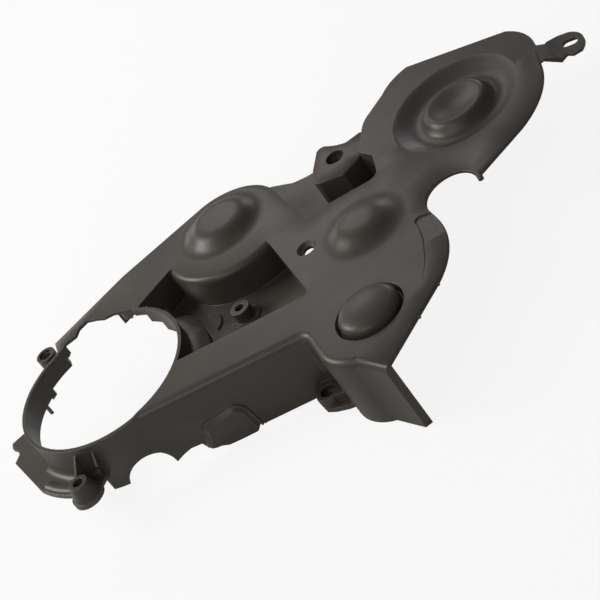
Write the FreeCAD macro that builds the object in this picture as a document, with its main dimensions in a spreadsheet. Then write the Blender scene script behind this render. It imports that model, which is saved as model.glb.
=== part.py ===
# Lower camshaft cover: one plastic moulding, open at the back, that covers the front of a belt drive.
# Millimetres. The origin is on the crank axis, halfway along the lip of the crank opening.
# +X runs from the crank axis to the pulley end, +Y to its left, +Z out of the front panel.
# Heights are drawn from the plane of the lowest edge, and the finished cover is moved down as a whole.

import FreeCAD
import Part
import Sketcher
import math
import os

DRIVING_SIZES = {
    # front panel and walls
    "panel_height": 61,
    "panel_thickness": 2.5,
    "wall": 3,
    "edge_round": 1.4,
    "fold_round": 6,
    "shelf_depth": 27,
    # crank opening
    "bore_radius": 67,
    "collar_wall": 3,
    "collar_depth": 20.5,
    "collar_step_depth": 16.5,
    "collar_lip_depth": 9,
    "collar_ledge_depth": 15,
    "collar_ledge_width": 13,
    # belt arm, with the idler bump
    "arm_x": 138,
    "arm_y": 59,
    "arm_radius": 50,
    "idler_bump_radius": 38,
    "idler_bump_top": 14,
    "idler_bump_rise": 9,
    # main lobe, with a soft bump and a puck
    "lobe_x": 184,
    "lobe_y": -103,
    "lobe_radius": 78,
    "soft_bump_x": 219,
    "soft_bump_y": -53,
    "soft_bump_radius": 37,
    "soft_bump_top": 8,
    "soft_bump_rise": 8,
    "puck_x": 183,
    "puck_y": -143,
    "puck_radius": 24,
    "puck_rise": 8.5,
    "puck_groove": 4,
    "vent_x": 178,
    "vent_y": -30,
    "vent_radius": 4.5,
    "vent_cup": 8,
    "vent_cup_depth": 3,
    # pulley head, with its round dish
    "head_x": 331,
    "head_y": 4,
    "dish_radius": 52,
    "dish_depth": 6.5,
    "hub_radius": 31,
    "hub_top": 22,
    "hub_rise": 2,
    "hub_bowl": 3.4,
    "head_step": 0.8,
    # skirt below the belt arm and the tongue at its end
    "skirt_lift": 6,
    "skirt_lift_left": 14,
    "skirt_corner_x": 137,
    "skirt_corner_y": -117,
    "skirt_corner_round": 9,
    "tongue_x": 173,
    "tongue_y": -149,
    "tongue_radius": 37,
    "notch_x": -8.5,
    "notch_height": 10,
    "notch_radius": 18.5,
    "bulge_x": 56,
    "bulge_width": 46,
    "bulge_depth": 6.5,
    "bulge_top": 36,
    # pocket with its bolt boss
    "pocket_boss_x": 112.6,
    "pocket_boss_y": -14,
    "pocket_boss_top": 45,
    "boss_radius": 8,
    "bolt_radius": 3.8,
    "pad_radius": 12,
    "pocket_arc_x": 143,
    "pocket_arc_y": 62,
    "pocket_arc_radius": 57,
    "pocket_lip_round": 5,
    "pad_height": 1.5,
    # bolt bosses round the collar and under the skirt
    "low_boss_x": -54.4,
    "low_boss_y": -71,
    "low_boss_top": 47,
    "low_boss_foot": 12.5,
    "far_boss_x": -28.3,
    "far_boss_y": 85,
    "far_boss_top": 55,
    "deep_boss_x": 127.3,
    "deep_boss_y": -126,
    "deep_boss_top": 17,
    "deep_boss_radius": 9.5,
    "foot_height": 4,
    # flange ring at the left of the crank opening
    "flange_radius": 89,
    "root_radius": 6,
    "bead_height": 2.5,
    # bolt block between arm and head
    "block_drop": 4,
    "block_bolt_x": 239,
    "block_bolt_y": 53.5,
    "counterbore_radius": 7.7,
    "counterbore_depth": 5,
    # slotted ear at the end of the head
    "ear_drop": 11,
    "ear_x": 425.6,
    "ear_y": -9,
    "ear_radius": 19,
    "ear_slot_radius": 4,
    "ear_slot_length": 5,
}

doc = FreeCAD.newDocument("camshaft_cover")
sheet = doc.addObject("Spreadsheet::Sheet", "sizes")


class Size:
    """A number with its spreadsheet formula, so that one sum gives the value and the binding."""

    def __init__(self, value, text):
        self.value = value
        self.text = text

    def __add__(self, other):
        other = as_size(other)
        return Size(self.value + other.value, "({} + {})".format(self.text, other.text))

    def __sub__(self, other):
        other = as_size(other)
        return Size(self.value - other.value, "({} - {})".format(self.text, other.text))

    def __mul__(self, other):
        other = as_size(other)
        return Size(self.value * other.value, "({} * {})".format(self.text, other.text))

    def __truediv__(self, other):
        other = as_size(other)
        return Size(self.value / other.value, "({} / {})".format(self.text, other.text))

    def __neg__(self):
        return Size(-self.value, "(-{})".format(self.text))

    __radd__ = __add__
    __rmul__ = __mul__


def as_size(number):
    """Wrap a plain number, and pass a Size through."""
    if isinstance(number, Size):
        return number
    return Size(float(number), "{:.6f}".format(float(number)))


def fill_sheet():
    """Write every driving size to the spreadsheet, with its alias, and return them by name."""
    named = {}
    for row, (alias, number) in enumerate(DRIVING_SIZES.items(), start=1):
        sheet.set("A{}".format(row), alias)
        sheet.set("B{}".format(row), str(number))
        sheet.setAlias("B{}".format(row), alias)
        named[alias] = Size(float(number), "sizes.{}".format(alias))
    doc.recompute()
    return named


SZ = fill_sheet()


def bind(target, prop, size):
    """Set a property and bind it to the spreadsheet."""
    size = as_size(size)
    target.setExpression(prop, size.text)


def polar(centre, radius, degrees):
    """A point on a circle, as a pair of sizes."""
    turn = math.radians(degrees)
    return (as_size(centre[0]) + radius * math.cos(turn), as_size(centre[1]) + radius * math.sin(turn))


def arc_geometry(start, end, radius):
    """The arc of at most half a turn from start to end: left turning for a positive radius."""
    chord = end - start
    half = chord.Length / 2
    sagitta_leg = math.sqrt(max(radius * radius - half * half, 0.0))
    normal = FreeCAD.Vector(-chord.y, chord.x, 0).normalize()
    side = 1 if radius > 0 else -1
    centre = (start + end) * 0.5 + normal * (sagitta_leg * side)
    first = math.atan2(start.y - centre.y, start.x - centre.x)
    last = math.atan2(end.y - centre.y, end.x - centre.x)
    circle = Part.Circle(centre, FreeCAD.Vector(0, 0, 1), abs(radius))
    if radius > 0:
        return Part.ArcOfCircle(circle, first, last if last > first else last + 2 * math.pi)
    return Part.ArcOfCircle(circle, last, first if first > last else first + 2 * math.pi)


def pin(sketch, geometry, end, axis, size):
    """Hold one coordinate of a sketch point at a size measured from the origin."""
    size = as_size(size)
    if abs(size.value) < 1e-9:
        line = -2 if axis == "X" else -1
        sketch.addConstraint(Sketcher.Constraint("PointOnObject", geometry, end, line))
        return
    index = sketch.addConstraint(Sketcher.Constraint("Distance" + axis, -1, 1, geometry, end, size.value))
    if "sizes." in size.text:
        sketch.setExpression("Constraints[{}]".format(index), size.text)


def outline(name, path):
    """A closed sketch through the corners of path: (x, y) by a line, (x, y, radius) by an arc."""
    sketch = doc.addObject("Sketcher::SketchObject", name)
    corners = [FreeCAD.Vector(as_size(p[0]).value, as_size(p[1]).value, 0) for p in path]
    ends = []
    for number, step in enumerate(path):
        start = corners[number - 1]
        finish = corners[number]
        if len(step) == 3:
            radius = as_size(step[2]).value
            index = sketch.addGeometry(arc_geometry(start, finish, radius))
            ends.append((index, 1, 2) if radius > 0 else (index, 2, 1))
        else:
            index = sketch.addGeometry(Part.LineSegment(start, finish))
            ends.append((index, 1, 2))
    for number, (index, first, last) in enumerate(ends):
        before = ends[number - 1]
        sketch.addConstraint(Sketcher.Constraint("Coincident", before[0], before[2], index, first))
        pin(sketch, index, last, "X", path[number][0])
        pin(sketch, index, last, "Y", path[number][1])
        if len(path[number]) == 3:
            radius = as_size(path[number][2])
            if radius.value < 0:
                radius = -radius
            bound = sketch.addConstraint(Sketcher.Constraint("Radius", index, radius.value))
            if "sizes." in radius.text:
                sketch.setExpression("Constraints[{}]".format(bound), radius.text)
    return sketch


def prism(name, path, low, high):
    """A solid between two heights over an outline."""
    sketch = path if hasattr(path, "TypeId") else outline(name + "_outline", path)
    solid = doc.addObject("Part::Extrusion", name)
    solid.Base = sketch
    solid.DirMode = "Custom"
    solid.Dir = FreeCAD.Vector(0, 0, 1)
    solid.Solid = True
    bind(solid, "LengthFwd", as_size(high) - low)
    bind(solid, ".Placement.Base.z", low)
    return solid


def cylinder(name, centre, radius, low, high):
    """An upright round solid between two heights."""
    solid = doc.addObject("Part::Cylinder", name)
    bind(solid, "Radius", radius)
    bind(solid, "Height", as_size(high) - low)
    bind(solid, ".Placement.Base.x", centre[0])
    bind(solid, ".Placement.Base.y", centre[1])
    bind(solid, ".Placement.Base.z", low)
    return solid


def cone(name, centre, low_radius, high_radius, low, high):
    """An upright cone between two heights."""
    solid = doc.addObject("Part::Cone", name)
    bind(solid, "Radius1", low_radius)
    bind(solid, "Radius2", high_radius)
    bind(solid, "Height", as_size(high) - low)
    bind(solid, ".Placement.Base.x", centre[0])
    bind(solid, ".Placement.Base.y", centre[1])
    bind(solid, ".Placement.Base.z", low)
    return solid


def fuse(name, solids):
    """One solid out of several that overlap."""
    joined = doc.addObject("Part::MultiFuse", name)
    joined.Shapes = solids
    joined.Refine = True
    return joined


def cut(name, base, tools):
    """The base without the tools."""
    tool = tools[0] if len(tools) == 1 else fuse(name + "_tools", tools)
    result = doc.addObject("Part::Cut", name)
    result.Base = base
    result.Tool = tool
    result.Refine = True
    return result


def offset_outline(name, sketch, distance, join="Intersection"):
    """The outline moved sideways by a distance."""
    moved = doc.addObject("Part::Offset2D", name)
    moved.Source = sketch
    moved.Join = join
    bind(moved, "Value", distance)
    return moved


def soft_surface(stations):
    """Path through (radius, height) stations: soft steps as two arcs that both end level.

    A station marked "dome" is reached by one arc that starts level, one marked "line" by a line.
    """
    path = []
    for inner, outer in zip(stations, stations[1:]):
        run = as_size(outer[0]) - inner[0]
        rise = as_size(outer[1]) - inner[1]
        if abs(rise.value) < 1e-9 or outer[2:] == ("line",):
            path.append(outer[:2])
        elif outer[2:] == ("dome",):
            path.append(outer[:2] + ((run * run + rise * rise) / (rise * 2),))
        else:
            bend = (run * run + rise * rise) / (rise * 4)
            path.append(midway(inner, outer) + (bend,))
            path.append(outer[:2] + (-bend,))
    return path


def revolved(name, centre, path):
    """A full turn of a section that is drawn as (radius, height)."""
    section = outline(name + "_section", path)
    section.Placement.Rotation = FreeCAD.Rotation(FreeCAD.Vector(1, 0, 0), 90)
    solid = doc.addObject("Part::Revolution", name)
    solid.Source = section
    solid.Axis = FreeCAD.Vector(0, 0, 1)
    solid.Angle = 360
    solid.Solid = True
    bind(solid, ".Placement.Base.x", centre[0])
    bind(solid, ".Placement.Base.y", centre[1])
    return solid


def rounded_prism(name, sketch, low, high, rounding):
    """A prism whose upper edge is rounded in two tapered steps all the way round."""
    base_top = as_size(high) - rounding
    lower_step = as_size(rounding) * 0.62
    lower_inset = as_size(rounding) * 0.29
    body = prism(name + "_body", sketch, low, base_top)
    first = prism(name + "_shoulder", sketch, base_top, base_top + lower_step)
    first.TaperAngle = -math.degrees(math.atan(0.29 / 0.62))
    inset = offset_outline(name + "_crown_outline", sketch, -lower_inset)
    second = prism(name + "_crown", inset, base_top + lower_step, high)
    second.TaperAngle = -math.degrees(math.atan(0.71 / 0.38))
    return [body, first, second]


def rounded_edges(name, solid, places, radius):
    """The solid with a round along the edges whose middles are at the given places."""
    doc.recompute()
    chosen = []
    for number, edge in enumerate(solid.Shape.Edges, start=1):
        middle = edge.valueAt((edge.FirstParameter + edge.LastParameter) / 2)
        for place in places:
            if (middle - FreeCAD.Vector(*[as_size(value).value for value in place])).Length < 0.5:
                chosen.append((number, radius.value, radius.value))
    rounded = doc.addObject("Part::Fillet", name)
    rounded.Base = solid
    rounded.Edges = chosen
    return rounded


def common(name, solids):
    """The space that all the solids share."""
    shared = doc.addObject("Part::MultiCommon", name)
    shared.Shapes = solids
    return shared


def between(start, finish, share):
    """The point at a share of the way from one point to another."""
    across = (as_size(finish[0]) - start[0]) * share
    up = (as_size(finish[1]) - start[1]) * share
    return (as_size(start[0]) + across, as_size(start[1]) + up)


def midway(start, finish):
    """The point halfway between two others."""
    return ((as_size(start[0]) + finish[0]) / 2, (as_size(start[1]) + finish[1]) / 2)


def shift(centre, across, up):
    """A point at a distance from a centre."""
    return (as_size(centre[0]) + across, as_size(centre[1]) + up)


def box_path(left, low, right, high):
    """The corners of a rectangle."""
    return [(left, low), (right, low), (right, high), (left, high)]


# Heights and centres that several sub-parts share
PANEL = SZ["panel_height"]
PANEL_BACK = PANEL - SZ["panel_thickness"]
SHELF = PANEL - SZ["shelf_depth"]
SHELF_BACK = SHELF - SZ["wall"]
WALL = SZ["wall"]
BELOW = -5
ABOVE = PANEL + 5
BORE = SZ["bore_radius"]
COLLAR = BORE + SZ["collar_wall"]
CRANK = (0, 0)
ARM = (SZ["arm_x"], SZ["arm_y"])
LOBE = (SZ["lobe_x"], SZ["lobe_y"])
HEAD = (SZ["head_x"], SZ["head_y"])
TONGUE = (SZ["tongue_x"], SZ["tongue_y"])
SKIRT_CORNER = (SZ["skirt_corner_x"], SZ["skirt_corner_y"])
BLOCK_BOLT = (SZ["block_bolt_x"], SZ["block_bolt_y"])
EAR = (SZ["ear_x"], SZ["ear_y"])
POCKET_ARC = (SZ["pocket_arc_x"], SZ["pocket_arc_y"])


def skirt_corner_ends():
    """Where the round in the corner between skirt and tongue starts and ends."""
    reach = SZ["skirt_corner_round"] * 0.7283
    start = shift(SKIRT_CORNER, reach * -0.9417, reach * 0.3363)
    finish = shift(SKIRT_CORNER, reach * -0.0312, reach * -0.9995)
    return start, finish


def front_outline(name, corner):
    """The edge of the front panel, left turning, with the given path round the skirt's corner."""
    return outline(name, [
        polar(CRANK, COLLAR, -86) + (COLLAR,),
    ] + corner + [
        shift(TONGUE, -SZ["tongue_radius"], 0),
        polar(TONGUE, SZ["tongue_radius"], 237) + (SZ["tongue_radius"],),
        shift(TONGUE, -8, -57),
        shift(TONGUE, -2, -57),
        polar(LOBE, SZ["lobe_radius"], -56),
        polar(LOBE, SZ["lobe_radius"], 2) + (SZ["lobe_radius"],),
        shift(LOBE, 77.5, 16),
        shift(LOBE, 98, 36.5) + (-20.5,),
        shift(LOBE, 118.5, 16) + (-20.5,),
        shift(LOBE, 117.5, 8.5),
        shift(LOBE, 121.5, 7) + (2.4,),
        shift(LOBE, 122.5, 12),
        shift(HEAD, 19, -80),
        shift(HEAD, 66, -24) + (80,),
        shift(HEAD, 75, 4),
        shift(HEAD, 67, 39) + (45,),
        shift(HEAD, -4, 86),
        shift(HEAD, -33, 75) + (42,),
        shift(HEAD, -50, 65),
        shift(HEAD, -63, 53) + (30,),
        shift(HEAD, -77, 29),
        shift(HEAD, -71, 14),
        shift(HEAD, -77, -7),
        shift(HEAD, -86, -12) + (-8,),
        shift(ARM, 74, -58),
        shift(ARM, 61, -60),
        shift(ARM, 53, -51) + (-10,),
        polar(ARM, SZ["arm_radius"], 10),
        polar(ARM, SZ["arm_radius"], 90) + (SZ["arm_radius"],),
        shift(ARM, -83, 40),
        shift(ARM, -155, 21.5),
        polar(CRANK, COLLAR, 105.5),
    ])


def shelf_outline():
    """The mid-level shelf between arm and head, which also carries the bolt block."""
    return outline("shelf_outline", [
        shift(ARM, 40, -79),
        shift(HEAD, -63, -24),
        shift(HEAD, -63, 36),
        shift(HEAD, -55, 60),
        shift(HEAD, -69, 76),
        shift(HEAD, -91, 84),
        shift(ARM, 77, 35),
        shift(ARM, 66, 40),
        shift(ARM, 51, 55.5),
        shift(ARM, 34, 59),
        shift(ARM, 12, 47),
        shift(ARM, 12, 1),
        shift(ARM, 40, 1),
    ])


def block_outline():
    """The top face of the bolt block."""
    return outline("block_outline", [
        shift(BLOCK_BOLT, -25, -11),
        shift(BLOCK_BOLT, -23, -16),
        shift(BLOCK_BOLT, -4, -27),
        shift(BLOCK_BOLT, 12, -22),
        shift(BLOCK_BOLT, 20, -17),
        shift(BLOCK_BOLT, 29, 6),
        shift(BLOCK_BOLT, 27, 8),
        shift(BLOCK_BOLT, 14, 8.5),
        shift(BLOCK_BOLT, 1, 22) + (-40,),
        shift(BLOCK_BOLT, -8, 23) + (6,),
        shift(BLOCK_BOLT, -20, 4),
    ])


def hollow_body():
    """Panel, shelf and block as one shell of even wall, open at the back."""
    corner_in, corner_out = skirt_corner_ends()
    front = front_outline("front_outline", [corner_in, corner_out + (-SZ["skirt_corner_round"],)])
    front_inside = front_outline("front_inside_outline", [SKIRT_CORNER])
    shelf = shelf_outline()
    block = block_outline()
    block_top = PANEL - SZ["block_drop"]
    fold_start = polar(CRANK, COLLAR, -86)
    tongue_start = shift(TONGUE, -SZ["tongue_radius"], 0)
    tongue_end = polar(TONGUE, SZ["tongue_radius"], 237)
    corner_middle = shift(SKIRT_CORNER, SZ["skirt_corner_round"] * -0.1235, SZ["skirt_corner_round"] * -0.165)
    fold_middles = [
        polar(CRANK, COLLAR, 189.75),
        midway(fold_start, corner_in),
        corner_middle,
        midway(corner_out, tongue_start),
        polar(TONGUE, SZ["tongue_radius"], 208.5),
        midway(tongue_end, shift(TONGUE, -8, -57)),
    ]
    folded = rounded_edges("folded_front", prism("plain_front", front, 0, PANEL),
                           [middle + (PANEL,) for middle in fold_middles], SZ["fold_round"])
    fine = fuse("fine_front", rounded_prism("panel", front, 0, PANEL, SZ["edge_round"]))
    outer = [common("front_outside", [folded, fine]), prism("shelf", shelf, 0, SHELF)]
    outer += rounded_prism("block", block, SHELF_BACK, block_top, SZ["edge_round"])
    inner = [
        prism("panel_hollow", offset_outline("panel_inside", front_inside, -WALL), BELOW, PANEL_BACK),
        prism("shelf_hollow", offset_outline("shelf_inside", shelf, -WALL, "Arc"), BELOW, SHELF_BACK),
        prism("block_hollow", offset_outline("block_inside", block, -WALL), BELOW, block_top - WALL),
    ]
    return cut("hollow_body", fuse("body_outside", outer), inner)


def absent_walls():
    """Where the body has no wall, or a shallower one, than the deepest edge."""
    near_edge = shift(TONGUE, -2, -66)
    return [
        prism("open_near_side", [
            near_edge,
            shift(HEAD, 110, -220),
            shift(HEAD, 110, 2),
            shift(HEAD, 60, 2),
            shift(LOBE, 116, 73),
            shift(LOBE, -19, 43),
            shift(TONGUE, -8, -41),
            shift(TONGUE, -2, -54),
        ], BELOW, PANEL_BACK),
        prism("shallow_head_wall", [
            shift(HEAD, -47, -34),
            shift(HEAD, 110, -34),
            shift(HEAD, 110, 110),
            shift(HEAD, -47, 110),
        ], BELOW, PANEL - 15),
        prism("open_far_strip", [
            (-26, 71.5),
            shift(ARM, -104, 12.5),
            shift(ARM, -104, 60),
            (-60, 119),
        ], BELOW, PANEL_BACK),
        prism("shallow_far_wall", [
            shift(ARM, -106, 11),
            shift(ARM, -76, 11),
            shift(ARM, -76, 60),
            shift(ARM, -106, 60),
        ], BELOW, PANEL - SZ["shelf_depth"] - 4),
        prism("collar_band", box_path(-110, 3, -42.5, 130), BELOW, PANEL - SZ["collar_depth"]),
        prism("collar_band_tab", box_path(-43, 30, -37.5, 130), BELOW, PANEL - SZ["collar_depth"] - 2),
        prism("collar_band_step", box_path(-38, 30, -11, 130), BELOW, PANEL - SZ["collar_step_depth"]),
        prism("collar_back", box_path(-110, -130, -39, 10), BELOW, SHELF_BACK),
    ]


def pocket_outline():
    """The mouth of the pocket beside the crank opening."""
    return outline("pocket_outline", [
        polar(CRANK, COLLAR, -39.5) + (-COLLAR,),
        (155, -79),
        (159, -75),
        polar(POCKET_ARC, SZ["pocket_arc_radius"], -73.7),
        polar(POCKET_ARC, SZ["pocket_arc_radius"], 180) + (-SZ["pocket_arc_radius"],),
        polar(CRANK, COLLAR, 43),
    ])


def pocket_lip():
    """What the lip along the arm's edge of the pocket takes away, in three slopes."""
    edge = SZ["pocket_arc_radius"]
    lip_round = SZ["pocket_lip_round"]
    ring = revolved("pocket_lip_ring", POCKET_ARC, [
        (edge - lip_round * 0.5, PANEL - lip_round * 0.134),
        (edge - lip_round * 0.134, PANEL - lip_round * 0.5),
        (edge, PANEL - lip_round),
        (edge + 1, PANEL - lip_round),
        (edge + 1, ABOVE),
        (edge - lip_round, ABOVE),
        (edge - lip_round, PANEL),
    ])
    zone = prism("pocket_lip_zone", [
        POCKET_ARC,
        shift(POCKET_ARC, -70, 0),
        shift(POCKET_ARC, -70, -70),
        shift(POCKET_ARC, 16, -70),
        shift(POCKET_ARC, 16, -50),
    ], PANEL - 10, ABOVE)
    return common("pocket_lip", [ring, zone])


def bosses():
    """Bolt bosses with their feet, in the pocket, round the collar and under the skirt."""
    pocket = (SZ["pocket_boss_x"], SZ["pocket_boss_y"])
    low = (SZ["low_boss_x"], SZ["low_boss_y"])
    far = (SZ["far_boss_x"], SZ["far_boss_y"])
    deep = (SZ["deep_boss_x"], SZ["deep_boss_y"])
    radius = SZ["boss_radius"]
    foot = SZ["foot_height"]
    solids = [
        cylinder("pocket_boss", pocket, radius, SHELF_BACK, SZ["pocket_boss_top"]),
        cylinder("pocket_boss_pad", pocket, SZ["pad_radius"], SHELF_BACK, SHELF + SZ["pad_height"]),
        prism("half_moon_pad", [(90, 20.5, 14.2), (90, -4.5)], SHELF_BACK, SHELF + SZ["pad_height"]),
        cone("low_boss", low, radius + 4.5, radius - 0.5, SHELF_BACK, SZ["low_boss_top"]),
        cylinder("low_boss_foot", low, SZ["low_boss_foot"], SHELF_BACK, SHELF_BACK + foot),
        cylinder("far_boss", far, radius, PANEL - SZ["collar_step_depth"], SZ["far_boss_top"]),
        cylinder("deep_boss", deep, SZ["deep_boss_radius"], SZ["skirt_lift"], SZ["deep_boss_top"]),
        prism("deep_boss_foot", [
            shift(deep, -10, 8),
            shift(deep, -9, -6),
            shift(deep, -4, -12),
            shift(deep, 5, -19),
            shift(deep, 11, -22),
            shift(deep, 11, 14),
            shift(deep, -9, 14),
        ], SZ["skirt_lift"], SZ["skirt_lift"] + foot),
        prism("deep_boss_web", [
            shift(deep, -6, 0),
            shift(deep, 0, -8),
            shift(deep, 11, -14),
            shift(deep, 11, 14),
            shift(deep, -6, 12),
        ], SZ["skirt_lift"], SZ["deep_boss_top"]),
        cylinder("vent_cup_wall", (SZ["vent_x"], SZ["vent_y"]), SZ["vent_cup"] + 1.5,
                 PANEL_BACK - SZ["vent_cup_depth"], PANEL_BACK + 0.5),
        cylinder("block_sleeve", BLOCK_BOLT, radius + 3, SZ["skirt_lift"], PANEL - SZ["block_drop"] - 1),
        prism("far_boss_web", [
            polar(CRANK, BORE + 1.5, 112),
            polar(CRANK, BORE + 1.5, 104),
            shift(far, 5, 0),
            shift(far, -5, 0),
        ], PANEL - SZ["collar_step_depth"], SZ["far_boss_top"] - 4),
    ]
    return solids


def bolt_holes():
    """Clearance holes, straight through each boss."""
    bolt = SZ["bolt_radius"]
    counterbore = SZ["counterbore_radius"]
    block_top = PANEL - SZ["block_drop"]
    return [
        cylinder("pocket_bolt", (SZ["pocket_boss_x"], SZ["pocket_boss_y"]), bolt, BELOW, ABOVE),
        cylinder("low_bolt", (SZ["low_boss_x"], SZ["low_boss_y"]), bolt + 0.4, BELOW, ABOVE),
        cylinder("far_bolt", (SZ["far_boss_x"], SZ["far_boss_y"]), bolt, BELOW, ABOVE),
        cylinder("far_bolt_mouth", (SZ["far_boss_x"], SZ["far_boss_y"]), bolt + 1.7,
                 SZ["far_boss_top"] - 2, ABOVE),
        cylinder("deep_bolt", (SZ["deep_boss_x"], SZ["deep_boss_y"]), bolt, BELOW, SZ["deep_boss_top"] + 12),
        cylinder("deep_bolt_mouth", (SZ["deep_boss_x"], SZ["deep_boss_y"]), bolt + 2.2,
                 SZ["deep_boss_top"] - 5, SZ["deep_boss_top"] + 12),
        cylinder("block_bolt", BLOCK_BOLT, bolt, BELOW, ABOVE),
        cylinder("block_counterbore", BLOCK_BOLT, counterbore, block_top - SZ["counterbore_depth"], ABOVE),
    ]


def flange_ring():
    """The ring that seats round the oil seal housing: a plate, its root fillet and its rolled bead."""
    flange = SZ["flange_radius"]
    low = (SZ["low_boss_x"], SZ["low_boss_y"])
    plate = prism("flange_ring", [
        polar(CRANK, BORE + 1.5, 188),
        polar(CRANK, BORE + 1.5, 178),
        (-71, 12),
        (-72, 20),
        (-73, 30),
        (-74, 40),
        (-74, 47),
        (-87.3, 45),
        (-88.7, 38.7),
        (-85.9, 33.7),
        (-86, 27),
        (-91.9, 20.4),
        (-84.2, -27.4),
        polar(CRANK, flange, 200),
        polar(CRANK, flange, 222) + (flange,),
        shift(low, -6, 4),
        shift(low, 13, 0),
        shift(low, 20, 6),
        polar(CRANK, BORE + 1.5, 242),
    ], SHELF_BACK, SHELF)
    root = revolved("flange_root", CRANK, [
        (BORE + 1, SHELF_BACK),
        (COLLAR + SZ["root_radius"], SHELF_BACK),
        (COLLAR + SZ["root_radius"], SHELF),
        (COLLAR - 0.5, SHELF + SZ["root_radius"] + 0.5, -SZ["root_radius"] - 0.5),
        (BORE + 1, SHELF + SZ["root_radius"] + 0.5),
    ])
    root_zone = prism("flange_root_zone", [(-110, -110), (-38, -110), (-38, -20), (-110, -5)],
                      SHELF_BACK, PANEL)
    bead = revolved("flange_bead", CRANK, [
        (flange - 13, SHELF_BACK + 0.5),
        (flange - 1, SHELF_BACK + 0.5),
        (flange - 1, SHELF),
        (flange - 5, SHELF + SZ["bead_height"], 5),
        (flange - 8, SHELF + SZ["bead_height"] - 0.5, 6),
        (flange - 13, SHELF, -12),
    ])
    bead_zone = prism("flange_bead_zone", [(0, 0), polar(CRANK, 140, 202), polar(CRANK, 140, 228)],
                      SHELF_BACK, PANEL)
    spike = prism("band_spike", [
        polar(CRANK, BORE, 135.5),
        polar(CRANK, BORE + 2.6, 135.5),
        polar(CRANK, BORE + 2.6, 137),
        polar(CRANK, BORE, 137),
    ], PANEL - SZ["collar_depth"] - 8, PANEL - SZ["collar_depth"] + 1)
    fillet = common("flange_fillet", [root, root_zone])
    roll = common("flange_roll", [bead, bead_zone])
    return [plate, fillet, roll, spike]


def gussets():
    """Thin triangular ribs from the collar out to the low boss."""
    low = (SZ["low_boss_x"], SZ["low_boss_y"])
    ribs = []
    thickness = 1.6
    for number, (angle, reach, drop) in enumerate([(229.5, 12, 12), (242, 8, 0)], start=1):
        section = outline("gusset_{}_section".format(number), [
            (BORE + 1.5, PANEL - 6),
            (BORE + 1.5, PANEL - 18 - drop),
            (COLLAR + reach, PANEL - 15 - drop),
            (COLLAR + reach, PANEL - 14),
            (COLLAR + 1, PANEL - 6),
        ])
        section.Placement.Rotation = FreeCAD.Rotation(angle, 0, 90)
        rib = doc.addObject("Part::Extrusion", "gusset_{}".format(number))
        rib.Base = section
        rib.DirMode = "Normal"
        rib.Solid = True
        rib.Symmetric = True
        bind(rib, "LengthFwd", thickness)
        ribs.append(rib)
    return ribs


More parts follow.
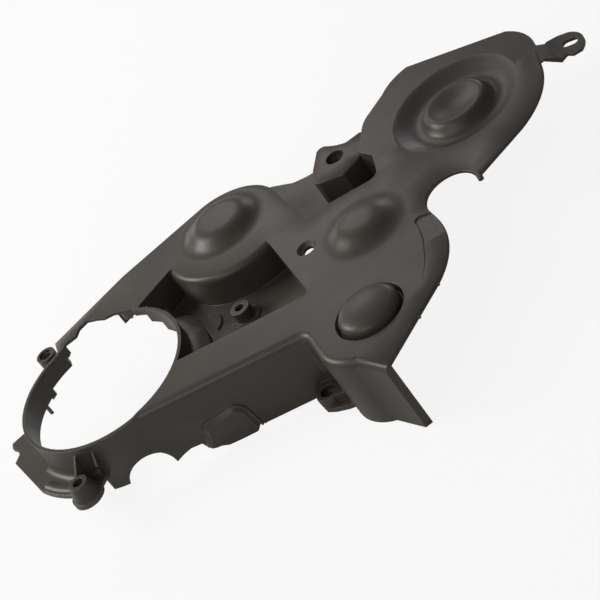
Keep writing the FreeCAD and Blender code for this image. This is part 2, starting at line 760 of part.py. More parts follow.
def round_forms():
    """The soft bumps, the puck and the dish, as skins of panel thickness, with the holes they fill."""
    thickness = SZ["panel_thickness"]
    idler = (SZ["arm_x"] + 2, SZ["arm_y"] + 9)
    soft = (SZ["soft_bump_x"], SZ["soft_bump_y"])
    puck = (SZ["puck_x"], SZ["puck_y"])
    puck_edge = SZ["puck_radius"]
    puck_top = PANEL + SZ["puck_rise"]
    puck_foot = PANEL - SZ["puck_groove"]
    dish_floor = PANEL - SZ["dish_depth"]
    hub_top = PANEL + SZ["hub_rise"]
    hub_floor = hub_top - SZ["hub_bowl"]
    forms = {
        "idler_bump": (idler, [
            (0, PANEL + SZ["idler_bump_rise"]),
            (SZ["idler_bump_top"], PANEL + SZ["idler_bump_rise"]),
            (SZ["idler_bump_radius"], PANEL),
        ]),
        "soft_bump": (soft, [
            (0, PANEL + SZ["soft_bump_rise"]),
            (SZ["soft_bump_top"], PANEL + SZ["soft_bump_rise"]),
            (SZ["soft_bump_radius"], PANEL),
        ]),
        "puck": (puck, [
            (0, puck_top),
            (puck_edge - 4.5, puck_top - 2.8, "dome"),
            (puck_edge - 2, puck_top - 4.2, "line"),
            (puck_edge - 0.4, puck_top - 6.6, "line"),
            (puck_edge, puck_foot, "line"),
            (puck_edge + 0.8, puck_foot),
            (puck_edge + 3, PANEL, "line"),
        ]),
        "dish": (HEAD, [
            (0, hub_floor),
            (6, hub_floor),
            (10, hub_floor + 0.8, "line"),
            (SZ["hub_top"] - 5, hub_top - 0.9, "line"),
            (SZ["hub_top"] - 1, hub_top, "line"),
            (SZ["hub_top"] + 1, hub_top),
            (SZ["hub_top"] + 3, hub_top - 1.2, "line"),
            (SZ["hub_radius"] - 1.5, dish_floor + 1.2, "line"),
            (SZ["hub_radius"] + 0.5, dish_floor, "line"),
            (SZ["dish_radius"] - 15, dish_floor),
            (SZ["dish_radius"] - 11.5, dish_floor + 0.9, "line"),
            (SZ["dish_radius"] - 2.5, PANEL - 0.9, "line"),
            (SZ["dish_radius"], PANEL, "line"),
        ]),
    }
    under = {
        "idler_bump": [
            (SZ["idler_bump_radius"] - 3.5, PANEL_BACK),
            (SZ["idler_bump_top"] + 2.5, PANEL_BACK + SZ["idler_bump_rise"] - 0.5),
            (0, PANEL_BACK + SZ["idler_bump_rise"] - 0.5),
        ],
        "soft_bump": [
            (SZ["soft_bump_radius"] - 4.5, PANEL_BACK),
            (SZ["soft_bump_top"] + 3, PANEL_BACK + SZ["soft_bump_rise"] - 0.5),
            (0, PANEL_BACK + SZ["soft_bump_rise"] - 0.5),
        ],
        "puck": [
            (puck_edge + 3, puck_foot - thickness),
            (puck_edge - thickness, puck_foot - thickness),
            (puck_edge - thickness - 0.4, puck_top - 8),
            (puck_edge - 6.5, puck_top - 5.4),
            (0, puck_top - WALL),
        ],
        "dish": [
            (SZ["dish_radius"] - 1, PANEL_BACK - 0.5),
            (SZ["dish_radius"] - 13, dish_floor - thickness),
            (SZ["hub_radius"] - 1, dish_floor - thickness),
            (SZ["hub_top"] + 1, hub_top - WALL),
            (SZ["hub_top"] - 3, hub_top - WALL),
            (7, hub_floor - thickness),
            (0, hub_floor - thickness),
        ],
    }
    holes = []
    skins = []
    for name, (centre, stations) in forms.items():
        rim = stations[-1][0]
        edge = rim + 1
        upper = soft_surface(stations + [(edge, PANEL)])
        path = upper + [(edge, PANEL_BACK)] + under[name] + [stations[0]]
        skins.append(revolved(name, centre, path))
        holes.append(cylinder(name + "_hole", centre, rim + 0.5, PANEL - 12, ABOVE))
    return holes, skins


def collar_ledge():
    """The sloping ledge round the collar inside the pocket."""
    width = SZ["collar_ledge_width"]
    top = PANEL - SZ["collar_ledge_depth"]
    ring = revolved("ledge_ring", CRANK, [
        (BORE + 1, SHELF_BACK + 1),
        (COLLAR + width, SHELF_BACK + 1),
        (COLLAR + width, top - 5),
        (COLLAR + 3, top),
        (BORE + 1, top),
    ])
    zone = prism("ledge_zone", [(66, -70), (100, -70), (100, 22), (66, 30)], SHELF_BACK, PANEL)
    return common("collar_ledge", [ring, zone])


def collar_lip():
    """The short tube round the crank opening."""
    return revolved("collar_lip", CRANK, [
        (BORE - 1, PANEL - SZ["collar_lip_depth"]),
        (COLLAR, PANEL - SZ["collar_lip_depth"]),
        (COLLAR, PANEL - 1),
        (BORE - 1, PANEL - 1),
    ])


def skirt_heading():
    """The direction of the fold above the skirt, in degrees from +X."""
    root = polar(CRANK, COLLAR, -86)
    return math.degrees(math.atan2((SKIRT_CORNER[1] - root[1]).value, (SKIRT_CORNER[0] - root[0]).value))


def on_skirt(sketch):
    """Stand a sketch on the skirt: x along the fold, y up, z out of the wall."""
    root = polar(CRANK, COLLAR, -86)
    sketch.Placement.Rotation = FreeCAD.Rotation(skirt_heading(), 0, 90)
    bind(sketch, ".Placement.Base.x", root[0])
    bind(sketch, ".Placement.Base.y", root[1])
    return sketch


def swelling(name, sketch, near, far, slope):
    """A solid that grows out of the skirt between two depths, with sides that lean in by a slope."""
    heading = math.radians(skirt_heading())
    out = FreeCAD.Vector(math.sin(heading), -math.cos(heading), 0)
    solid = doc.addObject("Part::Extrusion", name)
    solid.Base = sketch
    solid.DirMode = "Normal"
    solid.Solid = True
    solid.TaperAngle = -slope
    bind(solid, "LengthFwd", as_size(far) - near)
    bind(solid, ".Placement.Base.x", as_size(near) * out.x)
    bind(solid, ".Placement.Base.y", as_size(near) * out.y)
    return solid


def skirt_bulge():
    """The shallow bulge on the skirt, as (solids, hollow)."""
    root = polar(CRANK, COLLAR, -86)
    middle = (SZ["bulge_x"] - root[0]) * 1.0617
    half = SZ["bulge_width"] / 2
    top = SZ["bulge_top"]
    depth = SZ["bulge_depth"]
    outside = on_skirt(outline("bulge_outline", [
        (middle - half - 1, 1),
        (middle + half, 1),
        (middle + half + 1, top * 0.3),
        (middle + half - 1, top - 12.5),
        (middle + half - 7.5, top - 1.2) + (13,),
        (middle + 7, top) + (12,),
        (middle - half + 9, top - 3.5),
        (middle - half + 4, top - 14) + (14,),
        (middle - half - 1, top * 0.3),
    ]))
    foot = offset_outline("bulge_foot_outline", outside, 1.8, "Arc")
    shoulder = offset_outline("bulge_shoulder_outline", outside, -depth * 0.35, "Arc")
    crown = offset_outline("bulge_crown_outline", outside, -depth * 0.75, "Arc")
    inside = offset_outline("bulge_inside", outside, -3.5, "Arc")
    solids = [
        swelling("bulge_root", outside, -2.5, 0, 0),
        swelling("bulge_foot", foot, -0.3, 0.9, 60),
        swelling("bulge_flank", outside, 0, depth * 0.45, 34),
        swelling("bulge_shoulder", shoulder, depth * 0.4, depth * 0.8, 50),
        swelling("bulge_crown", crown, depth * 0.75, depth, 74),
    ]
    return solids, swelling("bulge_hollow", inside, -8, depth - 3.2, 30)


def skirt_profile():
    """The space under the skirt's lower edge, seen square on to the front."""
    lift = SZ["skirt_lift"]
    left = SZ["skirt_lift_left"]
    profile = outline("skirt_profile_outline", [
        (-41.5, BELOW),
        (134, BELOW),
        (134, lift),
        (78.2, lift),
        (77.2, lift + 1.2),
        (75.6, lift + 1),
        (74.7, lift + 3.5),
        (70, lift),
        (58, lift - 0.7),
        (48, lift + 0.2),
        (43, lift + 3),
        (35, lift + 4) + (-30,),
        (32.5, left) + (-6,),
        (24, left + 0.5),
        (17.5, left - 1.5),
        (10.6, left - 4.6),
        (-8, left - 4.6),
        (-8, left),
        (-41.5, left),
    ])
    profile.Placement.Rotation = FreeCAD.Rotation(0, 0, 90)
    cutter = doc.addObject("Part::Extrusion", "skirt_profile")
    cutter.Base = profile
    cutter.DirMode = "Normal"
    cutter.Solid = True
    bind(cutter, "LengthFwd", 140)
    return cutter


def ear():
    """The slotted ear, cranked down from the head, as (plate, slot) solids."""
    top = PANEL - SZ["ear_drop"]
    thickness = SZ["panel_thickness"]
    bend = SZ["head_x"] + 69
    section = outline("ear_section", [
        (SZ["head_x"] + 57, PANEL - 1),
        (SZ["head_x"] + 57, PANEL - thickness),
        (bend - 1, PANEL - thickness),
        (bend + 10.5, top - thickness),
        (EAR[0] + 20, top - thickness),
        (EAR[0] + 20, top),
        (bend + 12.5, top),
        (bend + 1, PANEL - 1),
    ])
    section.Placement.Rotation = FreeCAD.Rotation(FreeCAD.Vector(1, 0, 0), 90)
    strip = doc.addObject("Part::Extrusion", "ear_strip")
    strip.Base = section
    strip.DirMode = "Normal"
    strip.Solid = True
    strip.Symmetric = True
    bind(strip, "LengthFwd", 90)
    plan = prism("ear_plan", [
        shift(HEAD, 59, -14),
        shift(HEAD, 65, -26),
        shift(EAR, -15.7, -12.3),
        shift(EAR, -8.6, -9.6),
        shift(EAR, -5.7, -14.8),
        shift(EAR, 1.2, -16.5),
        shift(EAR, 5.1, 12.8) + (SZ["ear_radius"],),
        shift(EAR, -2.6, 17.7),
        shift(EAR, -11.3, 20.4),
        shift(HEAD, 75.5, 3.4),
        shift(HEAD, 60, -4),
    ], PANEL - 30, ABOVE)
    plate = common("ear", [strip, plan])
    slot = [cylinder("ear_slot_{}".format(number), polar(EAR, SZ["ear_slot_length"] / 2, angle),
                     SZ["ear_slot_radius"], PANEL - 30, ABOVE)
            for number, angle in enumerate((-31, 149), start=1)]
    half = SZ["ear_slot_length"] / 2
    flank = SZ["ear_slot_radius"]
    corners = []
    for sign_along, sign_across in ((-1, -1), (1, -1), (1, 1), (-1, 1)):
        mid = polar(EAR, half * sign_along, -31)
        corners.append(polar(mid, flank * sign_across, 59))
    slot.append(prism("ear_slot_middle", corners, PANEL - 30, ABOVE))
    return plate, slot


def openings():
    """Everything that is cut out of the joined moulding."""
    vent = (SZ["vent_x"], SZ["vent_y"])
    vent_floor = PANEL - SZ["vent_cup_depth"]
    cuts = [
        cylinder("crank_bore", CRANK, BORE, BELOW, ABOVE),
        prism("crank_relief", [
            (-11.5, 40),
            (45, 40),
            (47, 51),
            (33, 63),
            (25, 66),
            (20, 72),
            (13, 78),
            (5, 76),
            (0, 70),
            (-10, 70),
            (-13, 66),
        ], BELOW, ABOVE),
        prism("lip_relief", [(44, 40), (57, 40), (57, 58), (44, 58)], BELOW, PANEL - 5.5),
        prism("pocket_window", [(40, 12), (60, 12), (60, 75), (40, 75)], BELOW, PANEL - 13),
        prism("pocket_window_low", [(59, 8), (67, 8), (67, 75), (59, 75)], BELOW, PANEL - 21),
        cylinder("vent", vent, SZ["vent_radius"], PANEL - 12, ABOVE),
        cone("vent_cup", vent, SZ["vent_radius"] + 1, SZ["vent_cup"] + 1, vent_floor, PANEL + 1),
    ]
    notch = doc.addObject("Part::Cylinder", "skirt_notch")
    bind(notch, "Radius", SZ["notch_radius"])
    bind(notch, "Height", 70)
    notch.Placement.Rotation = FreeCAD.Rotation(FreeCAD.Vector(1, 0, 0), 90)
    bind(notch, ".Placement.Base.x", SZ["notch_x"])
    bind(notch, ".Placement.Base.y", -50)
    bind(notch, ".Placement.Base.z", SZ["notch_height"])
    cuts.append(notch)
    cuts.append(skirt_profile())
    return cuts


def surface_steps():
    """Shallow steps in the front: the far half of the head and the band at the edge of the lobe."""
    head_floor = PANEL - SZ["head_step"]
    far_half = prism("far_half", [
        shift(HEAD, -75, 4),
        polar(HEAD, SZ["dish_radius"], 178),
        polar(HEAD, SZ["dish_radius"], 90) + (-SZ["dish_radius"],),
        polar(HEAD, SZ["dish_radius"], -6) + (-SZ["dish_radius"],),
        shift(HEAD, 64, -7),
        shift(HEAD, 80, -7),
        shift(HEAD, 80, 110),
        shift(HEAD, -85, 110),
        shift(HEAD, -85, 4),
    ], head_floor, ABOVE)
    edge_band = prism("edge_band", [
        shift(LOBE, 90, 10),
        shift(LOBE, 77, 11),
        shift(LOBE, 69, 16),
        shift(LOBE, 64, 13) + (5,),
        shift(LOBE, 56, -20) + (-90,),
        shift(LOBE, 37, -52) + (-90,),
        shift(LOBE, 60, -70),
        shift(LOBE, 120, -60),
    ], 0, 8)
    fade = -0.9
    edge_band.Placement.Rotation = FreeCAD.Rotation(FreeCAD.Vector(1, 0, 0), fade)
    end = SZ["lobe_y"] - 52
    bind(edge_band, ".Placement.Base.z", PANEL - end * math.sin(math.radians(fade)))
    return [far_half, edge_band]


def small_marks():
    """Three moulding gate stubs on the lobe's rim, and the stiffening ribs behind the panel."""
    rim_start = shift(TONGUE, -2, -57)
    rim_end = polar(LOBE, SZ["lobe_radius"], -56)
    stub_places = [
        shift(between(rim_start, rim_end, 0.223228), -0.77833, 1.14952),
        shift(between(rim_start, rim_end, 0.622517), -0.0017, 0.00252),
        polar(LOBE, SZ["lobe_radius"] - 0.2, -53.2),
    ]
    solids = []
    for number, place in enumerate(stub_places, start=1):
        solids.append(cylinder("gate_stub_{}".format(number), place, 1.2, PANEL_BACK, PANEL - 0.8))
    ribs = {
        "rib_arm": [(96, 66), (97.5, 64), (104, 76), (102.5, 77.5)],
        "rib_lobe": [(188, -72), (186, -73), (226, -108), (228, -106)],
        "rib_neck": [(252, -38), (254, -38.5), (284, -28), (283, -26)],
    }
    for name, corners in ribs.items():
        solids.append(prism(name, corners, PANEL_BACK - 6, PANEL_BACK + 0.5))
    return solids


def build():
    """Join the sub-parts of the moulding and return the finished cover."""
    body = cut("body", hollow_body(), absent_walls())
    pocket = pocket_outline()
    tub = prism("pocket_tub", offset_outline("pocket_tub_outline", pocket, WALL), SHELF_BACK, PANEL - 1)
    pocket_space = prism("pocket_space", pocket, SHELF, ABOVE)
    with_pocket = cut("body_with_pocket", fuse("body_and_tub", [body, tub]), [pocket_space, pocket_lip()])
    holes, skins = round_forms()
    plain = cut("body_for_forms", with_pocket, holes + surface_steps())
    bulge, bulge_hollow = skirt_bulge()
    plate, slot = ear()
    added = bosses() + flange_ring() + small_marks() + gussets() + bulge
    joined = fuse("joined", [plain, plate, collar_lip(), collar_ledge()] + skins + added)
    cover = cut("camshaft_cover", joined, openings() + bolt_holes() + slot + [bulge_hollow])
    bind(cover, ".Placement.Base.z", SZ["collar_lip_depth"] / 2 - PANEL)
    return cover


def check_document():
    """Stop if any object failed or holds a bad shape."""
    doc.recompute()
    for item in doc.Objects:
        if "Invalid" in item.State or "Error" in item.State:
            raise RuntimeError("{} failed: {}".format(item.Name, item.State))
        if hasattr(item, "Shape"):
            if item.Shape.isNull() or not item.Shape.isValid():
                raise RuntimeError("{} has a bad shape".format(item.Name))


cover = build()
cover.Label = "camshaft_cover"
check_document()
os.makedirs("parts", exist_ok=True)
cover.Shape.exportStep(os.path.join("parts", cover.Label + ".step"))
print(cover.Label, "solids", len(cover.Shape.Solids), "volume", round(cover.Shape.Volume),
      "box", cover.Shape.BoundBox)
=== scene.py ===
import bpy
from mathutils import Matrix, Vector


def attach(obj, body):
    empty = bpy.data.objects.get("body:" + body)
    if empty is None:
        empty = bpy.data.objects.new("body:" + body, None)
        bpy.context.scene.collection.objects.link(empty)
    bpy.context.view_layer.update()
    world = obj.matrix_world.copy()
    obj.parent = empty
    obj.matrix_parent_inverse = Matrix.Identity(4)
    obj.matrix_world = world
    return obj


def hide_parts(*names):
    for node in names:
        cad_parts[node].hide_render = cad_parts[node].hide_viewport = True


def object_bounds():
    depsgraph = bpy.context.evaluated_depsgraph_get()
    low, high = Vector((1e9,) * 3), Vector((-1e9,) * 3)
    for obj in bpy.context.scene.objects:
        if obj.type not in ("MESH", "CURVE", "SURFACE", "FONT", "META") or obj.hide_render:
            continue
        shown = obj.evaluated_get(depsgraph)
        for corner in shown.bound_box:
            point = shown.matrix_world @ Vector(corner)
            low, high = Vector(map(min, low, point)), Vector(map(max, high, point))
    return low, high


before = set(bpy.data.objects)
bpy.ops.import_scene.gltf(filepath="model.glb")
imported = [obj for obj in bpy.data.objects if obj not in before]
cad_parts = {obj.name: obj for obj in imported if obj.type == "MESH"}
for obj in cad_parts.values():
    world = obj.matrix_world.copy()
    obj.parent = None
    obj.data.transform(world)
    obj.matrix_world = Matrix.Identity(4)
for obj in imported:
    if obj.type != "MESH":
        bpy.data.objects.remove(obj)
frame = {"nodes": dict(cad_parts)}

"""Looks of a lower camshaft cover: one dark plastic moulding, its moulded finish, and a plain studio."""

import logging
import math
from dataclasses import dataclass, field
from enum import Enum
from typing import Any, Dict, List, Optional, Sequence, Tuple, Union

import bpy
from mathutils import Matrix, Vector

LOG = logging.getLogger("camshaft_cover")
CAD_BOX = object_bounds()

Triple = Tuple[float, float, float]
Number = Union[int, float]
WHITE: Triple = (1.0, 1.0, 1.0)


class Role(Enum):
    """What a lamp does in the studio."""

    KEY = "key"
    FILL = "fill"
    SHEEN = "sheen"
    LOW = "low"
    RIM = "rim"


@dataclass(frozen=True)
class Pattern:
    """One layer of soft noise, and the part of its range that a mask is made from."""

    per_metre: float
    detail: float
    rough: float = 0.5
    low: float = 0.0
    high: float = 1.0


@dataclass(frozen=True)
class Flow:
    """How a pattern is drawn out along the way that the plastic ran into the mould."""

    stretch: Triple
    turn: float


class Wire:
    """A shader socket that is written like a number."""

    def __init__(self, graph: "Graph", socket: bpy.types.NodeSocket) -> None:
        """Keep the socket and the graph that it belongs to.

        Args:
            graph: the node graph that new nodes are added to.
            socket: the output socket that this wire carries.
        """
        self.graph = graph
        self.socket = socket

    def _maths(self, operation: str, *others: Union["Wire", Number]) -> "Wire":
        """One Math node on this wire and the others.

        Args:
            operation: the Math node's operation.
            others: the further inputs.

        Returns:
            The wire of the result.
        """
        return self.graph.add("ShaderNodeMath", {"operation": operation}, [self, *others])

    def __add__(self, other: Union["Wire", Number]) -> "Wire":
        """This plus the other."""
        return self._maths("ADD", other)

    def __sub__(self, other: Union["Wire", Number]) -> "Wire":
        """This less the other."""
        return self._maths("SUBTRACT", other)

    def __rsub__(self, other: Number) -> "Wire":
        """A number less this."""
        return self.graph.add("ShaderNodeMath", {"operation": "SUBTRACT"}, [other, self])

    def __mul__(self, other: Union["Wire", Number]) -> "Wire":
        """This times the other."""
        return self._maths("MULTIPLY", other)

    __radd__ = __add__
    __rmul__ = __mul__

    def ramp(self, low: float, high: float) -> "Wire":
        """Zero below low, one above high, and a smooth step between.

        Args:
            low: the value at which the step starts.
            high: the value at which it ends.

        Returns:
            The wire of the step.
        """
        settings = {"interpolation_type": "SMOOTHSTEP"}
        values = {"Value": self, "From Min": low, "From Max": high}
        return self.graph.add("ShaderNodeMapRange", settings, values)


class Graph:
    """A material's or world's node graph, built by expression."""

    def __init__(self, tree: bpy.types.NodeTree) -> None:
        """Start from an empty graph.

        Args:
            tree: the node tree, whose nodes are removed first.
        """
        self.tree = tree
        self.tree.nodes.clear()

    def add(
        self,
        kind: str,
        settings: Optional[Dict[str, Any]] = None,
        values: Union[Sequence[Any], Dict[str, Any], None] = None,
        output: Union[int, str] = 0,
    ) -> Wire:
        """Add any node.

        Args:
            kind: the node's type.
            settings: its settings, which are set before its sockets.
            values: values or wires, by order or by socket name.
            output: which output the wire is taken from.

        Returns:
            The wire of that output.
        """
        node = self.tree.nodes.new(kind)
        for name, value in (settings or {}).items():
            setattr(node, name, value)
        pairs = enumerate(values) if isinstance(values, (list, tuple)) else (values or {}).items()
        for key, value in pairs:
            if isinstance(value, Wire):
                self.tree.links.new(value.socket, node.inputs[key])
            elif isinstance(value, tuple) and len(value) == 3 and node.inputs[key].type == "RGBA":
                node.inputs[key].default_value = (*value, 1.0)
            else:
                node.inputs[key].default_value = value
        return Wire(self, node.outputs[output] if node.outputs else None)

    def noise(self, place: Wire, pattern: Pattern) -> Wire:
        """Soft noise between 0 and 1.

        Args:
            place: the coordinates it is read at, in metres.
            pattern: its scale and its finer layers.

        Returns:
            The wire of the noise.
        """
        values = {
            "Vector": place,
            "Scale": pattern.per_metre,
            "Detail": pattern.detail,
            "Roughness": pattern.rough,
        }
        return self.add("ShaderNodeTexNoise", {"noise_dimensions": "3D"}, values)

    def mask(self, place: Wire, pattern: Pattern) -> Wire:
        """Patches of 1 on a ground of 0, from a pattern's noise.

        Args:
            place: the coordinates it is read at, in metres.
            pattern: the noise and the range that it is stepped over.

        Returns:
            The wire of the mask.
        """
        return self.noise(place, pattern).ramp(pattern.low, pattern.high)

    def drawn_out(self, place: Wire, flow: Flow) -> Wire:
        """Coordinates that are stretched along the flow of the plastic.

        Args:
            place: the coordinates.
            flow: the factor along each axis and the turn about Z, in radians.

        Returns:
            The wire of the new coordinates.
        """
        values = {"Vector": place, "Scale": flow.stretch, "Rotation": (0.0, 0.0, flow.turn)}
        return self.add("ShaderNodeMapping", {"vector_type": "POINT"}, values)

    def shown(self) -> Wire:
        """Which rays see a surface as the picture shows it.

        Returns:
            A wire that is 1 for rays from the camera, straight or through glass, and 0 for the rest.
        """
        camera = self.add("ShaderNodeLightPath", None, None, "Is Camera Ray")
        through = self.add("ShaderNodeLightPath", None, None, "Is Transmission Ray")
        return camera + through

    def blend(self, amount: Wire, low: Union[Wire, Triple], high: Union[Wire, Triple]) -> Wire:
        """A colour between two others.

        Args:
            amount: 0 for the first colour and 1 for the second.
            low: the first colour.
            high: the second colour.

        Returns:
            The wire of the colour.
        """
        node = self.tree.nodes.new("ShaderNodeMix")
        node.data_type = "RGBA"
        node.clamp_factor = True
        factor, first, second = node.inputs[0], node.inputs[6], node.inputs[7]
        self.tree.links.new(amount.socket, factor)
        for socket, value in ((first, low), (second, high)):
            if isinstance(value, Wire):
                self.tree.links.new(value.socket, socket)
            else:
                socket.default_value = (*value, 1.0)
        return Wire(self, node.outputs[2])

    def finish(self, surface: Wire, kind: str = "ShaderNodeOutputMaterial") -> None:
        """Send a shader to the output.

        Args:
            surface: the wire of the shader.
            kind: the type of the output node.
        """
        self.add(kind, None, {"Surface": surface})


@dataclass(frozen=True)
class MouldedPlastic:
    """Dark warm grey glass-filled plastic: satin moulding grain, flow streaks, dust, and rubbed edges
    that are lighter partly from wear and partly as a painted edge highlight.
    """

    body: Triple = (0.0650, 0.0530, 0.0440)
    cool: Triple = (0.0565, 0.0485, 0.0420)
    clouds: Pattern = Pattern(16.0, 3.0, low=0.35, high=0.68)
    cloud_flow: Flow = Flow((1.0, 2.2, 2.2), 0.35)

    dust: Triple = (0.105, 0.098, 0.088)
    dust_slopes: Tuple[float, float] = (0.2, 1.0)
    film: Pattern = Pattern(9.0, 4.0, 0.6, 0.42, 0.75)
    film_amount: float = 0.16
    specks: Pattern = Pattern(420.0, 4.0, 0.65, 0.52, 0.72)
    speck_amount: float = 0.10

    # Lighter edge colour: partly real rubbing, partly a painted highlight along every sharp edge,
    # concave ones too.
    rubbed_and_highlit: Triple = (0.240, 0.224, 0.202)
    edge_width: float = 0.0013
    edge_turns: Tuple[float, float] = (0.004, 0.12)
    rub_and_highlight_amount: float = 0.25
    chips: Pattern = Pattern(260.0, 3.0, 0.6, 0.40, 0.64)
    chip_amount: float = 0.45

    specular: float = 0.5
    refraction: float = 1.5
    roughness: float = 0.41
    streaks: Pattern = Pattern(34.0, 3.0)
    streak_flow: Flow = Flow((0.35, 2.4, 2.4), -0.3)
    streak_amount: float = 0.13
    spots: Pattern = Pattern(700.0, 2.0)
    spot_amount: float = 0.06

    soft_edge: float = 0.0010
    edge_samples: int = 4
    ripple: Pattern = Pattern(55.0, 2.0)
    ripple_depth: float = 0.00025
    ripple_strength: float = 0.35
    grain: Pattern = Pattern(1500.0, 3.0, 0.6)
    grain_depth: float = 0.00006
    grain_strength: float = 0.5

    def build(self, name: str) -> bpy.types.Material:
        """Make the material.

        Args:
            name: the material's name.

        Returns:
            The material.
        """
        material = bpy.data.materials.new(name)
        material.use_nodes = True
        graph = Graph(material.node_tree)
        place = graph.add("ShaderNodeTexCoord", None, None, "Object")
        shader = graph.add(
            "ShaderNodeBsdfPrincipled",
            None,
            {
                "Base Color": self._colour(graph, place),
                "Roughness": self._sheen(graph, place),
                "Specular IOR Level": self.specular,
                "IOR": self.refraction,
                "Normal": self._relief(graph, place),
            },
        )
        graph.finish(shader)
        return material

    def _rounded(self, graph: Graph, radius: float) -> Wire:
        """The normal that the surface has with its sharp edges rounded off.

        Args:
            graph: the material's graph.
            radius: the radius of the rounding, in metres.

        Returns:
            The wire of the normal.
        """
        return graph.add("ShaderNodeBevel", {"samples": self.edge_samples}, {"Radius": radius})

    def _edges(self, graph: Graph, normal: Wire) -> Wire:
        """Where the surface turns sharply.

        Args:
            graph: the material's graph.
            normal: the surface's own normal.

        Returns:
            A wire that is 1 on an edge and 0 on the flats.
        """
        soft = self._rounded(graph, self.edge_width)
        agree = graph.add("ShaderNodeVectorMath", {"operation": "DOT_PRODUCT"}, [soft, normal], "Value")
        return (1.0 - agree).ramp(*self.edge_turns)

    def _dust(self, graph: Graph, place: Wire, normal: Wire) -> Wire:
        """Where dust lies, a film with specks in it, on the faces that look up.

        Args:
            graph: the material's graph.
            place: the object coordinates.
            normal: the surface's own normal.

        Returns:
            The wire of the amount of dust.
        """
        upward = graph.add("ShaderNodeSeparateXYZ", None, [normal], "Z").ramp(*self.dust_slopes)
        film = graph.mask(place, self.film) * self.film_amount
        specks = graph.mask(place, self.specks) * self.speck_amount
        return upward * (film + specks)

    def _colour(self, graph: Graph, place: Wire) -> Wire:
        """The colour of the moulding, with flow clouds, dust, and rubbed edges that also carry a painted
        edge highlight.

        Args:
            graph: the material's graph.
            place: the object coordinates.

        Returns:
            The wire of the colour.
        """
        normal = graph.add("ShaderNodeNewGeometry", None, None, "Normal")
        clouds = graph.mask(graph.drawn_out(place, self.cloud_flow), self.clouds)
        plastic = graph.blend(clouds, self.body, self.cool)
        dusty = graph.blend(self._dust(graph, place, normal), plastic, self.dust)
        # Edges are lightened towards the rubbed colour: chips are wear, and the even base amount is a
        # painted edge highlight.
        wear_and_highlight = graph.mask(place, self.chips) * self.chip_amount + self.rub_and_highlight_amount
        return graph.blend(self._edges(graph, normal) * wear_and_highlight, dusty, self.rubbed_and_highlit)

    def _sheen(self, graph: Graph, place: Wire) -> Wire:
        """The roughness, with streaks along the flow of the plastic and fine spots.

        Args:
            graph: the material's graph.
            place: the object coordinates.

        Returns:
            The wire of the roughness.
        """
        streaks = graph.noise(graph.drawn_out(place, self.streak_flow), self.streaks)
        spots = graph.noise(place, self.spots)
        least = self.roughness - (self.streak_amount + self.spot_amount) / 2.0
        return streaks * self.streak_amount + spots * self.spot_amount + least

    def _relief(self, graph: Graph, place: Wire) -> Wire:
        """The moulding grain over gentle ripples and softened edges.

        Args:
            graph: the material's graph.
            place: the object coordinates.

        Returns:
            The wire of the normal.
        """
        normal = self._rounded(graph, self.soft_edge)
        layers = (
            (self.ripple, self.ripple_strength, self.ripple_depth),
            (self.grain, self.grain_strength, self.grain_depth),
        )
        for pattern, strength, depth in layers:
            height = graph.noise(place, pattern)
            values = {"Strength": strength, "Distance": depth, "Height": height, "Normal": normal}
            normal = graph.add("ShaderNodeBump", None, values)
        return normal


@dataclass(frozen=True)
class PalePaper:
    """White studio paper, which still takes a soft shadow."""

    tone: Triple = (0.93, 0.93, 0.93)
    shown_white: float = 0.88

    def build(self, name: str) -> bpy.types.Material:
        """Make the material.

        Args:
            name: the material's name.

        Returns:
            The material.
        """
        material = bpy.data.materials.new(name)
        material.use_nodes = True
        graph = Graph(material.node_tree)
        paper = graph.add("ShaderNodeBsdfDiffuse", None, {"Color": self.tone})
        white = graph.add("ShaderNodeEmission", None, {"Color": WHITE, "Strength": 1.0})
        amount = graph.shown() * self.shown_white
        graph.finish(graph.add("ShaderNodeMixShader", None, [amount, paper, white]))
        return material


@dataclass
class Cover:
    """The moulding itself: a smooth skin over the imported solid."""

    node: str = "camshaft_cover"
    slot: str = "cover_plastic"
    finish: MouldedPlastic = field(default_factory=MouldedPlastic)
    weld: float = 0.00002
    crease_degrees: float = 32.0

    def build(self, nodes: Dict[str, bpy.types.Object]) -> bpy.types.Object:
        """Make the skin, dress it and let it ride on the cover's body.

        Args:
            nodes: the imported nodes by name.

        Returns:
            The finished piece.
        """
        skin = self._copy(nodes[self.node])
        self._weld(skin)
        bpy.ops.object.shade_smooth_by_angle(angle=math.radians(self.crease_degrees))
        skin.data.materials.clear()
        skin.data.materials.append(self.finish.build("cover_plastic_moulded"))
        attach(skin, "root")
        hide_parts(self.node)
        return skin

    def _copy(self, source: bpy.types.Object) -> bpy.types.Object:
        """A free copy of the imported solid, with its own mesh.

        Args:
            source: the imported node.

        Returns:
            The copy, alone selected and active.
        """
        bpy.ops.object.select_all(action="DESELECT")
        skin = source.copy()
        skin.data = source.data.copy()
        skin.name = "cover_skin"
        skin.parent = None
        for key in list(skin.keys()):
            if key.startswith("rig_"):
                del skin[key]
        skin.matrix_world = Matrix.Identity(4)
        bpy.context.scene.collection.objects.link(skin)
        skin.select_set(True)
        bpy.context.view_layer.objects.active = skin
        return skin

    def _weld(self, skin: bpy.types.Object) -> None:
        """Join the loose triangles into one closed surface.

        Args:
            skin: the copy.
        """
        if skin.data.has_custom_normals:
            bpy.ops.mesh.customdata_custom_splitnormals_clear()
        bpy.ops.object.mode_set(mode="EDIT")
        bpy.ops.mesh.select_all(action="SELECT")
        bpy.ops.mesh.remove_doubles(threshold=self.weld)
        bpy.ops.object.mode_set(mode="OBJECT")


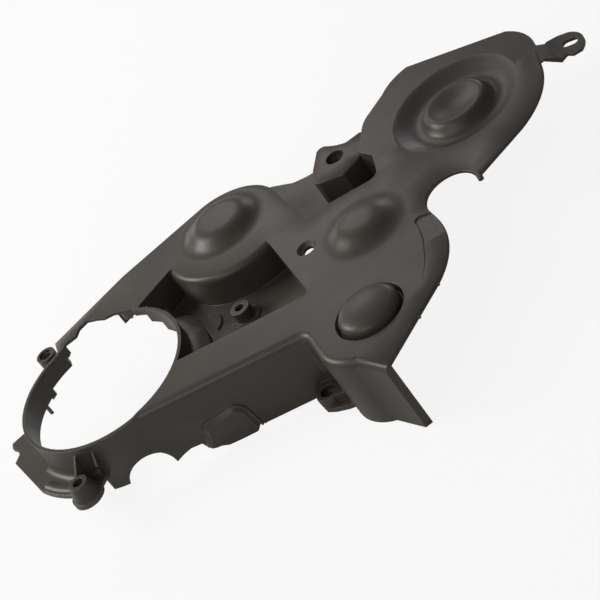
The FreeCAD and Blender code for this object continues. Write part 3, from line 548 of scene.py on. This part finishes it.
@dataclass
class Lamp:
    """One soft lamp, placed by its bearing and height in degrees and its distance in metres."""

    role: Role
    bearing: float
    height: float
    distance: float
    size: float
    watts: float
    tint: Triple = (1.0, 0.965, 0.925)

    def build(self, target: Vector) -> None:
        """Hang the lamp.

        Args:
            target: the point that the lamp faces.
        """
        turn = Matrix.Rotation(math.radians(self.bearing), 3, "Z")
        tilt = Matrix.Rotation(math.radians(-self.height), 3, "Y")
        way = turn @ tilt @ Vector((1.0, 0.0, 0.0))
        data = bpy.data.lights.new(self.role.value + "_lamp", "AREA")
        data.shape = "DISK"
        data.size = self.size
        data.energy = self.watts
        data.color = self.tint
        lamp = bpy.data.objects.new(data.name, data)
        place = Matrix.Translation(target + way * self.distance)
        lamp.matrix_world = place @ way.to_track_quat("Z", "Y").to_matrix().to_4x4()
        bpy.context.scene.collection.objects.link(lamp)


@dataclass
class Studio:
    """The floor, the surroundings, the lamps and the camera."""

    floor_radius: float = 3.2
    floor_sides: int = 96
    floor_gap: float = 0.0002
    paper: PalePaper = field(default_factory=PalePaper)
    ambient_tint: Triple = (1.0, 0.995, 0.985)
    ambient: float = 0.165
    target: Triple = (0.17, -0.03, -0.02)
    focal_mm: float = 138.0
    sensor_mm: float = 36.0
    sight: Tuple[float, float] = (0.05, 30.0)
    camera_rows: Tuple[Tuple[float, ...], ...] = (
        (0.79334294796, 0.60863423347, -0.01308996975, 0.12936627865),
        (-0.34376904368, 0.43014329672, -0.83474522829, -1.43928730488),
        (-0.50242400169, 0.66673916578, 0.55048072338, 0.90108432150),
        (0.0, 0.0, 0.0, 1.0),
    )
    lamps: List[Lamp] = field(default_factory=lambda: [
        Lamp(Role.KEY, 145.0, 36.0, 1.5, 0.6, 10.5),
        Lamp(Role.FILL, 215.0, 40.0, 1.5, 1.0, 4.0),
        Lamp(Role.SHEEN, 86.0, 33.0, 1.0, 0.4, 0.8),
        Lamp(Role.LOW, 106.0, 7.0, 1.5, 0.3, 0.7),
        Lamp(Role.RIM, 58.0, 13.0, 1.5, 0.4, 1.1, (0.94, 0.95, 1.0)),
    ])

    def build(self) -> None:
        """Set the whole studio up."""
        self._camera()
        self._floor()
        self._surroundings()
        for lamp in self.lamps:
            lamp.build(Vector(self.target))
            LOG.info("%s lamp hung", lamp.role.value)
        bpy.context.scene.view_settings.view_transform = "Standard"

    def _camera(self) -> None:
        """Place the camera at the photograph's angle."""
        data = bpy.data.cameras.new("photo_camera")
        data.lens = self.focal_mm
        data.sensor_width = self.sensor_mm
        data.clip_start, data.clip_end = self.sight
        camera = bpy.data.objects.new("photo_camera", data)
        camera.matrix_world = Matrix(self.camera_rows)
        bpy.context.scene.collection.objects.link(camera)
        bpy.context.scene.camera = camera

    def _floor(self) -> None:
        """Lay the paper under the lowest point of the cover."""
        bpy.ops.object.select_all(action="DESELECT")
        low = CAD_BOX[0].z - self.floor_gap
        bpy.ops.mesh.primitive_circle_add(vertices=self.floor_sides, radius=self.floor_radius,
                                          fill_type="NGON", location=(*self.target[:2], low))
        floor = bpy.context.object
        floor.name = "paper_floor"
        floor.data.materials.append(self.paper.build("studio_paper"))

    def _surroundings(self) -> None:
        """Light the scene evenly, and show white beyond the floor."""
        world = bpy.data.worlds.new("studio")
        bpy.context.scene.world = world
        world.use_nodes = True
        graph = Graph(world.node_tree)
        values = {"Color": self.ambient_tint, "Strength": self.ambient}
        soft = graph.add("ShaderNodeBackground", None, values)
        white = graph.add("ShaderNodeBackground", None, {"Color": WHITE, "Strength": 1.0})
        seen = graph.add("ShaderNodeMixShader", None, [graph.shown(), soft, white])
        graph.finish(seen, "ShaderNodeOutputWorld")


def main() -> None:
    """Build the cover and its studio, in order, and report each piece."""
    logging.basicConfig(level=logging.INFO, format="%(message)s")
    skin = Cover().build(frame["nodes"])
    LOG.info("%s: %d faces", skin.name, len(skin.data.polygons))
    Studio().build()


if __name__ == "__main__":
    main()
